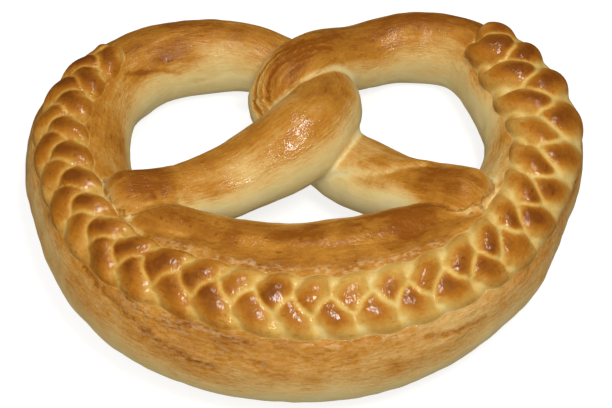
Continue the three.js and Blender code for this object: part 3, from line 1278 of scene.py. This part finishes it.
@dataclass(frozen=True)
class RopeBaking:
    """What browned the rope in the oven, from 0, dough, to 1, nearly burnt."""

    least: float = 0.21
    most: float = 0.63
    facing_up: Span = (0.02, 1.02)
    open_air: Span = (0.05, 0.70)
    rays: int = 20
    quick_rays: int = 6
    shaded_within: float = 90.0
    # The ring's outer side browned too, above the tray.
    outward: float = 0.45
    outward_above: Span = (6.0, 26.0)
    middle: Triple = (0.0, 15.0, 0.0)
    arm_blend: float = 0.6
    blotch: float = 0.08
    blotch_size: float = 36.0
    streak: float = 0.10
    streak_size: float = 9.0
    streak_stretch: float = 3.0
    # It stayed paler where it touches itself, by the tray and in hollows, but less by the arms' tips.
    touching: float = 0.40
    touching_gap: Span = (0.0, 4.5)
    tip_touching: float = 0.22
    tip_near: Span = (24.0, 44.0)
    by_tray: float = 0.12
    by_tray_below: Span = (3.0, 24.0)
    hollow: float = 0.34
    hollow_deep: Span = (0.12, 0.60)
    hollow_above: float = 6.0
    tip_hollow: float = 0.6


@dataclass
class RopePiece:
    """The rope of dough: the ring and both arms, baked into one."""

    rope: Rope
    plait: PlaitShape
    voxel: float = 1.8
    sides: int = 64
    spacing: float = 3.0
    # The fold along the belly's inner shoulder: millimetres along the rope, degrees from its top,
    # how deep its middle lies, and half its width and height.
    fold: tuple[tuple[float, ...], ...] = (
        (509, -26, 9, 8, 7),
        (519, -32, 5, 12, 11),
        (530, -39, 3, 16, 13),
        (544, -44, 4, 18, 13.5),
        (560, -46, 5.5, 19, 13),
        (590, -43, 7, 20, 12.5),
        (629, -41, 8, 21, 12),
        (672, -41, 7, 20, 12.5),
        (702, -43, 6, 18, 13),
        (722, -45, 6, 16, 13),
        (736, -39, 7, 12, 11),
        (748, -33, 9, 8, 7),
    )
    fold_sides: int = 40
    fold_sections: int = 60
    # Lumps in the dough: how high, how large and which. They fade out where it lies on the tray.
    lumps: tuple[Triple, ...] = ((1.3, 42.0, 3.1), (0.45, 14.0, 8.2))
    off_tray: Span = (1.0, 12.0)
    # The skin swells a little beside the plait, where it faces up and touches nothing else.
    bed_rise: float = 1.2
    bed_width: float = 8.0
    bed_facing: Span = (-0.1, 0.4)
    bed_clear: Span = (2.0, 9.0)
    creases: tuple[Crease, ...] = (
        # the spiral seam of the right arm
        Crease(
            ((1157, 92), (1170, 62), (1186, 40), (1210, 18), (1226, -14), (1232, -26)),
            3.0,
            1.0,
            step=1.0,
            pale=0.15,
        ),
        # the left arm's end: a step, then wrinkles
        Crease(((31, -30), (30, -4), (25, 54)), 3.0, 0.5, step=-0.6, jagged=1.2, pale=0.04),
        Crease(((3, -48), (1, -12), (4, 26)), 1.8, 0.3, pale=-0.08),
        Crease(((8, -38), (6, -8), (10, 34)), 2.0, 0.7, nicks=0.6, pale=-0.26),
        Crease(((13, -34), (12, 2), (17, 30)), 2.0, 0.7, nicks=0.5, pale=-0.24),
        Crease(((19, -30), (18, 4)), 2.0, 0.6, nicks=0.5, pale=-0.20),
        # the back, left of the twist
        Crease(((322, -78), (305, -82), (287, -84), (262, -74), (243, -62)), 1.5, 0.9, nicks=0.5, pale=-0.06),
        Crease(((352, -30), (330, -48), (304, -66)), 1.8, 0.4, nicks=0.5, pale=-0.22),
        Crease(((318, -10), (296, -2), (276, 10)), 1.4, -0.3, pale=0.12),
        # the belly's outer side
        Crease(
            ((500, 34), (531, 46), (550, 55), (570, 66), (590, 72)),
            1.2,
            1.4,
            jagged=2.4,
            nicks=0.8,
            pale=-0.30,
        ),
        Crease(((540, 40), (556, 47), (575, 50)), 2.0, 1.0, jagged=2.4, nicks=0.5, pale=-0.16, torn=0.5),
        Crease(((572, 44), (590, 44), (606, 50)), 1.8, 1.0, jagged=2.0, nicks=0.5, pale=-0.16, torn=0.5),
        Crease(((602, 60), (613, 63)), 1.6, 1.2, jagged=1.2, pale=-0.20),
        Crease(((686, 58), (700, 64), (716, 66)), 2.2, 1.0, jagged=1.6, nicks=0.6, pale=-0.28),
        # round the fold's left tip
        Crease(((530, -8), (512, -14), (506, -26), (510, -42)), 2.4, 1.0, jagged=0.8, pale=0.26),
        # along the belly's inner shoulder
        Crease(((596, -48), (622, -50), (648, -46)), 1.6, 0.4, jagged=1.4, nicks=0.7, pale=-0.14),
        Crease(((640, -38), (668, -40), (690, -36)), 1.6, 0.4, jagged=1.4, nicks=0.7, pale=-0.12),
    )
    # Where it baked browner, or stayed paler, than its place would make it. A few of these patches are
    # painted light and shade instead, each marked below.
    spots: tuple[Spot, ...] = (
        Spot(1165, -5, 34, 60, -0.16),
        Spot(1180, -6, 20, 30, -0.14),
        # painted light: the right arm end's lower side is made paler, to lighten the shade that falls there
        Spot(1222, 64, 18, 22, -0.12),
        Spot(1088, 34, 20, 40, -0.14),
        Spot(560, -30, 18, 14, -0.14),
        Spot(629, -46, 60, 8, -0.12),
        Spot(687, 58, 30, 14, -0.16),
        Spot(607, 62, 30, 12, -0.06),
        Spot(455, 60, 40, 20, -0.08),
        Spot(398, -50, 30, 16, 0.04),
        Spot(424, -68, 24, 14, 0.08),
        Spot(820, -46, 24, 16, 0.14),
        Spot(785, -24, 24, 14, -0.06),
        # painted shade: the back's low inner side is made browner, for the shade that falls there
        Spot(990, -84, 60, 18, 0.12),
        Spot(1252, 10, 20, 38, 0.24),
        # painted light: the right arm's underside by the crossing is made paler, to lighten the shade that
        # falls there
        Spot(1190, 74, 34, 32, -0.22),
        Spot(1219, 40, 14, 26, -0.14),
        Spot(126, -10, 20, 34, -0.10),
        Spot(158, 10, 22, 40, 0.08),
        Spot(8, -6, 17, 40, 0.30),
        Spot(34, 30, 14, 30, -0.14),
        Spot(34, 78, 34, 20, -0.26),
        Spot(512, -30, 6, 14, -0.20),
        Spot(80, 26, 26, 26, -0.14),
        Spot(710, -28, 18, 14, 0.22),
        Spot(545, -34, 16, 14, 0.14),
        Spot(630, -36, 60, 12, 0.06),
        Spot(790, -34, 34, 22, -0.34),
        Spot(850, -44, 40, 20, -0.20),
        Spot(424, -62, 44, 20, 0.03),
        Spot(268, -34, 30, 22, -0.16),
        Spot(300, -14, 12, 12, 0.10),
        Spot(978, -26, 40, 22, -0.10),
        Spot(1078, 14, 26, 50, 0.10),
        Spot(1040, 0, 40, 26, 0.08),
        Spot(985, 8, 50, 24, 0.12),
        Spot(629, -36, 90, 14, 0.08),
        Spot(704, -30, 22, 16, 0.08),
        Spot(700, 50, 60, 20, -0.12),
        Spot(424, -66, 40, 18, 0.18),
        Spot(395, -46, 40, 18, 0.06),
        Spot(820, -42, 40, 18, 0.16),
        Spot(470, 58, 50, 20, -0.10),
        Spot(480, 60, 50, 22, -0.06),
        Spot(629, -47, 70, 6, -0.14),
        Spot(704, -30, 20, 14, 0.08),
        Spot(722, -42, 14, 14, 0.10),
        # painted light: the right arm end's lower side is made paler, to lighten the shade that falls there
        Spot(1225, 66, 18, 22, -0.14),
        # painted light: the left arm's lower side is made paler, to lighten the shade that falls there
        Spot(111, 70, 34, 22, -0.08),
        Spot(70, 44, 20, 30, -0.10),
        Spot(1042, -52, 26, 24, 0.28),
        Spot(62, 4, 22, 34, -0.08),
        Spot(309, -36, 16, 12, 0.14),
        Spot(335, -42, 20, 12, 0.12),
        Spot(290, 10, 60, 26, 0.08),
        Spot(96, 8, 24, 40, -0.04),
    )
    # where the egg wash shines most
    dull: float = 0.10
    glints: tuple[Spot, ...] = (
        Spot(119, 12, 9, 16, 0.75),
        Spot(107, 30, 9, 14, 0.75),
        Spot(69, 44, 12, 14, 0.5),
        Spot(1003, -30, 11, 18, 0.32),
        Spot(962, -38, 15, 18, 0.48),
        Spot(262, -36, 24, 22, 0.3),
        Spot(320, -40, 14, 16, 0.3),
        Spot(629, -18, 300, 10, 0.1),
    )
    glints_shallow: Span = (0.1, 0.4)
    # The grooves of the right arm's twist: where they come up and die out, and how they slant.
    twist_rises: Span = (22.6, 22.9)
    twist_falls: Span = (24.1, 24.4)
    twist_inner: Span = (-36.0, -18.0)
    twist_outer: Span = (84.0, 98.0)
    twist_start: float = 23.45
    groove_round: float = 0.367
    groove_along: float = 0.47
    groove_apart: float = 5.2
    groove_depth: float = 0.75
    groove_wander: float = 0.14
    groove_bends: float = 26.0
    groove_least: float = 0.15
    groove_usual: float = 0.8
    groove_patchy: float = 0.5
    groove_patches: float = 20.0
    groove_sharp: int = 6
    groove_brown: float = 0.20
    # The skin tore along the plait's edge on the front, and is rough on the belly's outer side.
    seam_past: float = 1.0
    seam_width: float = 3.2
    seam_torn: float = 0.7
    seam_shreds: float = 7.0
    seam_ragged: Span = (-0.4, 0.4)
    seam_rows: tuple[Span, Span] = ((12.2, 12.8), (15.2, 15.8))
    belly_torn: float = 0.26
    belly_matt: float = 0.4
    belly_lean: Span = (35.0, 60.0)
    belly_rows: Span = (3.0, 4.6)
    # How the grain is measured round the rope, and across it at its ends.
    grain_round: float = 30.0
    grain_across: float = 1.5
    grain_deep: float = 10.0
    end_grain: Span = (0.0, 26.0)
    baking: RopeBaking = RopeBaking()
    clay: Clay = field(default_factory=lambda: Clay("rope_loaf"))

    def build(self) -> None:
        """Lays the whole rope as one tube, flattens its underside and bakes it into one skin."""
        total = self.rope.lengths[-1]
        run = np.linspace(0.0, total, int(total / self.spacing))
        self.clay.tube(self.rope.frames(self.rope.row_at(run)), self.sides)
        self.clay.tube(self.fold_frames(), self.fold_sides)
        self.clay.flatten()
        self.clay.join(self.voxel)
        self.clay.soften(6)
        self.clay.fill_valleys(4)
        self.find()

    def find(self) -> None:
        """Finds every vertex's place on the rope, and how far past the plait's edge it lies."""
        self.place = Place.on(self.rope, self.clay.points)
        way = self.place.run - (self.rope.distance(RING_FROM) + self.plait.starts)
        inside = np.clip(way, 0.0, self.plait.length)
        f = self.rope.frames(self.place.row)
        aside = (np.radians(self.place.lean) - self.plait.lean(inside)) * np.sqrt(f.wide * f.high)
        self.past = np.abs(aside) - self.plait.half_span(inside)
        self.beside_plait = np.maximum(-way, way - self.plait.length) < 0

    def fold_frames(self) -> Frames:
        """Lays the fold on the belly's inner shoulder.

        Returns:
            Its frames.
        """
        line = Line(np.array(self.fold, float))
        at = line.at(np.linspace(0, line.last, self.fold_sections))
        surface, out = self.rope.frames(self.rope.row_at(at[:, 0])).skin(np.radians(at[:, 1]))
        centre = surface - out * at[:, 2:3]
        return Frames.of(centre, np.gradient(centre, axis=0), out, at[:, 3], at[:, 4])

    def shape(self) -> None:
        """Works the unevenness of a hand-made rope into the skin."""
        clay = self.clay
        free = smoothstep(clay.points[:, 2], *self.off_tray)
        lumps = sum(high * uneven(clay.points, size, seed) for high, size, seed in self.lumps)
        beside = bell(self.past, self.bed_width) * self.beside_plait
        on_ring = (self.place.row > RING_FROM) * (self.place.row < RING_TO)
        top = smoothstep(clay.normals[:, 2], *self.bed_facing) * on_ring
        clear = smoothstep(clay.spread(self.place.gap, 4), *self.bed_clear)
        clay.push((lumps + self.bed_rise * beside * top * clear) * free)
        self.find()
        self.pale = np.zeros(len(clay.points))
        self.torn = np.zeros(len(clay.points))
        move = np.zeros(len(clay.points))
        for crease in self.creases:
            near, side = crease.reach(self.rope, self.place, clay.points)
            move += crease.lift(near, side, clay.points)
            wide = bell(near, crease.width * crease.pale_width)
            self.pale += crease.pale * wide
            self.torn = np.maximum(self.torn, crease.torn * wide)
        clay.push((clay.spread(move, 1) + self.grooves()) * free)
        clay.fill_valleys(1)

    def grooves(self) -> np.ndarray:
        """Draws the slanting grooves that the twist pulled into the right arm.

        Returns:
            Their heights, none of them above 0.
        """
        place = self.place
        here = band(place.row, self.twist_rises, self.twist_falls)
        here = here * smoothstep(place.lean, *self.twist_inner) * falling(place.lean, *self.twist_outer)
        run = place.run - self.rope.distance(self.twist_start)
        phase = (self.groove_round * place.lean - self.groove_along * run) / self.groove_apart
        phase += self.groove_wander * uneven(self.clay.points, self.groove_bends, 6.6)
        chance = np.random.default_rng(4).uniform(self.groove_least, 1.0, GROOVE_CHANCES)
        deep = chance[np.mod(np.floor(phase), GROOVE_CHANCES).astype(int)]
        patchy = self.groove_patchy * uneven(self.clay.points, self.groove_patches, 3.9)
        deep = deep * (self.groove_usual + patchy)
        self.twisted = here
        wave = -2.0 * deep * (1.0 - np.cos(np.pi * phase) ** self.groove_sharp) * here
        self.pale += self.groove_brown * (wave + 0.3 * here)
        return self.groove_depth * wave

    def by_tips(self) -> np.ndarray:
        """How near each place is to one of the arms' tips.

        Returns:
            From 0, away from both, to 1, on one.
        """
        tips = self.rope.frames(np.array([0.0, self.rope.line.last])).centre
        apart = np.min([np.linalg.norm(self.clay.points - tip, axis=1) for tip in tips], axis=0)
        return falling(apart, *self.baking.tip_near)

    def baked(self, light: np.ndarray, facing: np.ndarray, hollow: np.ndarray) -> np.ndarray:
        """Works out how brown each place baked, with a few patches of painted light and shade on its lower
        sides.

        Args:
            light: How open the oven's heat reaches it.
            facing: Which way the skin faces there.
            hollow: How deep it lies below the evened skin.

        Returns:
            From 0, dough, to 1, nearly burnt.
        """
        points, place, baking = self.clay.points, self.place, self.baking
        height, blend = points[:, 2], baking.arm_blend
        ring = band(place.row, (RING_FROM - blend, RING_FROM + blend), (RING_TO - blend, RING_TO + blend))
        outwards = unit(points * np.array([1.0, 1.0, 0.0]) - np.array(baking.middle))
        outward = np.maximum(np.sum(facing * outwards, axis=1), 0.0) * ring
        heat = facing[:, 2] + baking.outward * outward * smoothstep(height, *baking.outward_above)
        warmed = baking.most * smoothstep(heat, *baking.facing_up)
        bake = baking.least + warmed * smoothstep(light, *baking.open_air)
        round_it = np.radians(place.lean) * self.grain_round
        stretched = np.stack([place.run / baking.streak_stretch, round_it, np.zeros(len(points))], axis=1)
        blotches = baking.blotch * uneven(points, baking.blotch_size, 5.0)
        bake += blotches + baking.streak * uneven(stretched, baking.streak_size, 2.6, 3)
        by_tips = self.by_tips()
        bake -= (baking.touching - baking.tip_touching * by_tips) * falling(place.gap, *baking.touching_gap)
        bake -= baking.by_tray * ring * falling(height, *baking.by_tray_below)
        hollows = baking.hollow * smoothstep(hollow, *baking.hollow_deep) * (height > baking.hollow_above)
        bake -= hollows * (1 - self.twisted) * (1 - baking.tip_hollow * by_tips)
        bake -= self.pale
        # the spots: mostly browner or paler baking, and a few patches of painted light and shade on lower
        # sides
        for spot in self.spots:
            bake += spot.on(place)
        return np.clip(bake, 0.0, 1.0)

    def grain(self) -> np.ndarray:
        """Lays the grain along the rope, and across its ends.

        Returns:
            The coordinates of each vertex along, round and into the dough, in metres.
        """
        place = self.place
        to_end = np.minimum(place.run, self.rope.lengths[-1] - place.run)
        capped = falling(to_end, *self.end_grain)
        around = np.radians(place.lean) * self.grain_round * (1 - capped)
        around = around + place.across * self.grain_across * capped
        return np.stack([place.run, around, place.ratio * self.grain_deep], axis=1) * MM

    def belly(self) -> np.ndarray:
        """Where the front's outer side is, from 0 to 1."""
        from_middle = np.abs(self.place.row - MIDDLE_ROW)
        return smoothstep(self.place.lean, *self.belly_lean) * falling(from_middle, *self.belly_rows)

    def tears(self, belly: np.ndarray) -> np.ndarray:
        """Finds where the skin tore.

        Args:
            belly: Where the front's outer side is.

        Returns:
            From 0, whole, to 1, torn.
        """
        seam = bell(self.past - self.seam_past, self.seam_width) * self.beside_plait
        ragged = smoothstep(uneven(self.clay.points, self.seam_shreds, 4.4), *self.seam_ragged)
        torn = np.maximum(self.torn, self.seam_torn * seam * ragged * band(self.place.row, *self.seam_rows))
        return np.clip(np.maximum(torn, self.belly_torn * belly), 0.0, 1.0)

    def dress(self, tree: BVHTree) -> None:
        """Bakes the piece, and gives it its crust.

        Args:
            tree: All that can shade it.
        """
        clay, baking = self.clay, self.baking
        rays = baking.rays
        light = clay.spread(light_on(clay, tree, rays, baking.shaded_within), 6)
        facing = clay.spread(clay.normals, 6)
        hollow = clay.hollows(clay.spread(clay.points, 8), facing)
        belly = self.belly()
        gloss = self.dull + sum(spot.on(self.place) for spot in self.glints)
        clay.keep("bake", self.baked(light, facing, hollow))
        clay.keep("grain", self.grain())
        clay.keep("torn", self.tears(belly))
        clay.keep("gloss", np.clip(gloss * falling(hollow, *self.glints_shallow), 0.0, 1.0))
        clay.keep("matt", self.belly_matt * belly)
        clay.object.data.materials.append(ROPE_CRUST.material())
        finish_piece(clay, "rope")


@dataclass(frozen=True)
class PlaitBaking:
    """What browned the plait in the oven, from 0, dough, to 1, nearly burnt."""

    usual: float = 0.52
    by_luck: float = 0.05
    rays: int = 20
    quick_rays: int = 6
    shaded_within: float = 18.0
    open_air: Span = (0.3, 0.9)
    by_air: float = 0.25
    usual_air: float = 0.6
    # The front of the loaf starts here along the plait, and its lobes have clearer borders.
    front: Span = (200.0, 300.0)
    front_paler: float = 0.02
    # Each lobe's dark middle: where it lies in a strand's swing and across the strand.
    dark: float = 0.33
    dark_by_luck: float = 0.10
    along_rises: Span = (0.37, 0.55)
    along_falls: Span = (0.74, 1.10)
    front_along: Span = (0.04, 0.12)
    across: Span = (0.15, 0.98)
    front_across: float = 0.06
    middle: float = 0.6
    core: float = 0.4
    core_rises: Span = (0.42, 0.58)
    core_falls: Span = (0.64, 0.90)
    core_across: Span = (0.0, 0.70)
    # Its pale border, by how far the strand stands over the next one.
    border: float = 0.26
    front_border: float = 0.12
    sharp: float = 0.62
    sharp_over: Span = (0.0, 2.0)
    front_wider: float = 0.4
    soft: float = 0.38
    soft_over: Span = (0.5, 4.4)
    sinking: float = 0.5
    sinking_over: Span = (0.0, 1.8)
    # The plait's own edges, where it sinks into the ring.
    edge: Span = (-6.0, 1.0)
    edge_browner: float = 0.14
    front_edge: float = 0.08
    edge_border: float = 0.75
    front_edge_border: float = 0.25
    border_keeps: float = 0.6
    border_dull: float = 0.7
    border_matt: float = 0.6


@dataclass
class PlaitPiece:
    """The three strands that were plaited and laid on the ring, baked into one relief."""

    shape_of: PlaitShape
    columns: int = 48
    rows: int = 520
    margin: float = 3.0
    beyond: float = 10.0
    depth: float = 3.0
    least: float = -2.0
    lowest: float = 0.5
    # How far the pattern wanders along and aside, and how large its bends are.
    wander: Span = (1.8, 1.4)
    bends: Span = (34.0, 28.0)
    higher: float = 0.5
    # The relief fades out past the plait's edge, and sinks into the ring.
    fades: Span = (-6.0, 3.0)
    faded: float = 0.35
    sinks: float = 1.4
    baking: PlaitBaking = PlaitBaking()
    clay: Clay = field(default_factory=lambda: Clay("plait_loaf"))

    def build(self) -> None:
        """Lays a closed sheet on the ring and raises the lobes from it."""
        clay, shape = self.clay, self.shape_of
        clay.sheet(self.columns, self.rows)
        clay.settle()
        flat = clay.points * MM
        way = (flat[:, 1] + 1) / 2 * (shape.length + 2 * self.beyond) - self.beyond
        inside = np.clip(way, 0.0, shape.length)
        aside = flat[:, 0] * (shape.half_span(inside) + self.margin)
        upper = flat[:, 2] > 0.5
        place = np.stack([way, aside, np.zeros(len(way))], axis=1)
        bent_way = way + self.wander[0] * uneven(place, self.bends[0], 2.2, 1)
        bent_aside = aside + self.wander[1] * uneven(place, self.bends[1], 9.1, 1)
        relief = shape.relief(bent_way, bent_aside)
        chance = np.random.default_rng(7).uniform(-1.0, 1.0, (LOBE_CHANCES, 3))
        luck = chance[np.mod(relief.lobe, LOBE_CHANCES).astype(int)]
        height = relief.height + self.higher * luck[:, 0] * relief.over
        past = np.abs(aside) - shape.half_span(inside)
        fading = smoothstep(past, *self.fades)
        height = height * (1 - self.faded * fading) - self.sinks * fading
        height = np.where(upper, np.maximum(height, self.least), -self.depth)
        clay.points = shape.surface(way, aside, height)
        clay.points[:, 2] = np.maximum(clay.points[:, 2], self.lowest)
        clay.write()
        clay.soften(4)
        self.way, self.aside, self.past, self.relief, self.luck = way, aside, past, relief, luck

    def dark(self, front: np.ndarray) -> np.ndarray:
        """Finds each lobe's dark middle.

        Args:
            front: Where the loaf's front is, from 0 to 1.

        Returns:
            From 0 to 1, at the darkest place.
        """
        relief, baking = self.relief, self.baking
        side = np.abs(relief.side)
        rises, falls = baking.along_rises, baking.along_falls
        sooner = [end - less * front for end, less in zip(falls, baking.front_along)]
        along = smoothstep(relief.swing, *rises) * falling(relief.swing, *sooner)
        across = falling(side, baking.across[0], baking.across[1] - baking.front_across * front)
        core = band(relief.swing, baking.core_rises, baking.core_falls) * falling(side, *baking.core_across)
        return baking.middle * along * across + baking.core * core

    def border(self, front: np.ndarray, edge: np.ndarray) -> np.ndarray:
        """Finds each lobe's pale border.

        Args:
            front: Where the loaf's front is, from 0 to 1.
            edge: Where the plait's own edges are, from 0 to 1.

        Returns:
            From 0 to 1, at the palest place.
        """
        relief, baking = self.relief, self.baking
        wider = 1.0 + baking.front_wider * front
        border = baking.sharp * falling(relief.crease / wider, *baking.sharp_over)
        border += baking.soft * falling(relief.crease, *baking.soft_over)
        sinking = falling(relief.proud, *baking.sinking_over)
        border = np.maximum(border, baking.sinking * front * sinking)
        return border * (1 - (baking.edge_border - baking.front_edge_border * front) * edge)

    def dress(self, tree: BVHTree) -> None:
        """Bakes the piece, and gives it its crust.

        Args:
            tree: All that can shade it.
        """
        clay, relief, baking = self.clay, self.relief, self.baking
        rays = baking.rays
        light = clay.spread(light_on(clay, tree, rays, baking.shaded_within), 3)
        front = smoothstep(self.way, *baking.front)
        edge = smoothstep(self.past, *baking.edge)
        border = self.border(front, edge)
        browner = self.shape_of.sizes(np.clip(self.way, 0.0, self.shape_of.length))[:, 5]
        bake = baking.usual - baking.front_paler * front + baking.by_luck * self.luck[:, 1]
        bake = bake + (baking.dark + baking.dark_by_luck * self.luck[:, 2]) * self.dark(front)
        bake -= (baking.border + baking.front_border * front) * border
        at_edge = (baking.edge_browner - baking.front_edge * front) * edge
        bake += browner * (1 - baking.border_keeps * border) + at_edge
        bake += baking.by_air * (smoothstep(light, *baking.open_air) - baking.usual_air)
        bake = clay.spread(bake, 1)
        gloss = (1 - baking.border_dull * border) * (1 - baking.border_dull * edge)
        clay.keep("bake", np.clip(bake, 0.0, 1.0))
        clay.keep("grain", np.stack([self.way, self.aside, relief.height], axis=1) * MM)
        clay.keep("torn", np.zeros(len(bake)))
        clay.keep("gloss", gloss)
        clay.keep("matt", baking.border_matt * border)
        clay.object.data.materials.append(PLAIT_CRUST.material())
        finish_piece(clay, "plait")


def finish_piece(clay: Clay, node: str) -> None:
    """Shades a piece smoothly and ties it to the part.

    Args:
        clay: The piece.
        node: The node of the part that it stands for.
    """
    piece = clay.object
    piece.data.polygons.foreach_set("use_smooth", np.ones(len(piece.data.polygons), bool))
    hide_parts(node)
    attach(piece, "root")
    triangles = sum(len(face.vertices) - 2 for face in piece.data.polygons)
    log.info("%s: %d vertices, %d triangles", piece.name, len(piece.data.vertices), triangles)


@dataclass(frozen=True)
class Lamp:
    """A square soft light over the loaf: where it hangs, in degrees and metres, and how strong it is."""

    name: str
    azimuth: float
    elevation: float
    distance: float
    size: float
    watts: float
    mirrored: bool


@dataclass
class Studio:
    """The pale floor, the soft light and the camera."""

    target: Vector = field(default_factory=lambda: Vector((1.0, -9.5, 30.0)) * MM)
    elevation: float = 52.0
    distance: float = 1.0
    lens: float = 94.7
    sensor: float = 36.0
    nearest: float = 0.01
    lamps: tuple[Lamp, ...] = (
        Lamp("key", 33.0, 65.0, 1.1, 0.28, 6.3, True),
        Lamp("second", 150.0, 74.0, 1.1, 0.22, 3.2, True),
        Lamp("fill", -25.0, 50.0, 1.3, 1.1, 8.0, False),
    )
    floor_size: float = 3.0
    floor_under: float = 0.0004
    floor_grey: float = 0.3
    # The floor looks white, but throws back no more light than a grey one.
    floor_glow: float = 0.26
    floor_seen: float = 0.52
    room: float = 0.30

    def aim(self, made: bpy.types.Object, azimuth: float, elevation: float, distance: float) -> None:
        """Hangs a camera or a light over the loaf, looking at it.

        Args:
            made: The camera or the light.
            azimuth: Its degrees round from the front.
            elevation: Its degrees over the floor.
            distance: How far away it is, in metres.
        """
        a, e = np.radians(azimuth), np.radians(elevation)
        back = Vector((np.sin(a) * np.cos(e), -np.cos(a) * np.cos(e), np.sin(e)))
        made.location = self.target + back * distance
        made.rotation_euler = (-back).to_track_quat("-Z", "Y").to_euler()
        bpy.context.scene.collection.objects.link(made)

    def camera(self) -> None:
        """Looks down at the loaf from the front."""
        data = bpy.data.cameras.new("camera")
        data.lens = self.lens
        data.sensor_width = self.sensor
        data.clip_start = self.nearest
        made = bpy.data.objects.new("camera", data)
        self.aim(made, 0.0, self.elevation, self.distance)
        bpy.context.scene.camera = made

    def light(self, lamp: Lamp) -> None:
        """Hangs one of the lights.

        Args:
            lamp: Which one.
        """
        data = bpy.data.lights.new(lamp.name, "AREA")
        data.shape = "SQUARE"
        data.size = lamp.size
        data.energy = lamp.watts
        made = bpy.data.objects.new(lamp.name, data)
        made.visible_glossy = lamp.mirrored
        self.aim(made, lamp.azimuth, lamp.elevation, lamp.distance)

    def floor(self) -> None:
        """Lays a plain pale floor."""
        form = bmesh.new()
        bmesh.ops.create_grid(form, x_segments=1, y_segments=1, size=self.floor_size)
        bmesh.ops.translate(form, verts=form.verts, vec=(0.0, 0.0, -self.floor_under))
        mesh = bpy.data.meshes.new("floor")
        form.to_mesh(mesh)
        form.free()
        made = bpy.data.objects.new("floor", mesh)
        made.visible_glossy = False
        bpy.context.scene.collection.objects.link(made)
        paint = Paint("floor")
        seen = paint.nodes.new("ShaderNodeLightPath").outputs["Is Camera Ray"]
        paint.feed("Base Color", (self.floor_grey, self.floor_grey, self.floor_grey, 1.0))
        paint.feed("Roughness", 0.9)
        paint.feed("Specular IOR Level", 0.1)
        paint.feed("Emission Color", (1.0, 1.0, 1.0, 1.0))
        paint.feed("Emission Strength", paint.math("MULTIPLY_ADD", seen, self.floor_seen, self.floor_glow))
        mesh.materials.append(paint.material)

    def world(self) -> None:
        """Puts an even pale surrounding round it all."""
        world = bpy.data.worlds.new("room")
        world.use_nodes = True
        shade = world.node_tree.nodes["Background"]
        shade.inputs["Color"].default_value = (1.0, 1.0, 1.0, 1.0)
        shade.inputs["Strength"].default_value = self.room
        world.cycles_visibility.glossy = False
        bpy.context.scene.world = world
        bpy.context.scene.view_settings.view_transform = "Standard"

    def build(self) -> None:
        """Sets the whole studio up."""
        self.camera()
        self.floor()
        self.world()
        for lamp in self.lamps:
            self.light(lamp)


def main() -> None:
    """Builds the loaf and its studio."""
    logging.basicConfig(level=logging.INFO, format="%(relativeCreated)d %(message)s")
    rope = Rope()
    shape = PlaitShape(rope)
    loaf = RopePiece(rope, shape)
    loaf.build()
    loaf.shape()
    log.info("the rope is shaped")
    plait = PlaitPiece(shape)
    plait.build()
    log.info("the plait is shaped")
    tree = light_tree(loaf.clay, plait.clay)
    loaf.dress(tree)
    plait.dress(tree)
    Studio().build()
    log.info("the studio is set up")


if __name__ == "__main__":
    main()
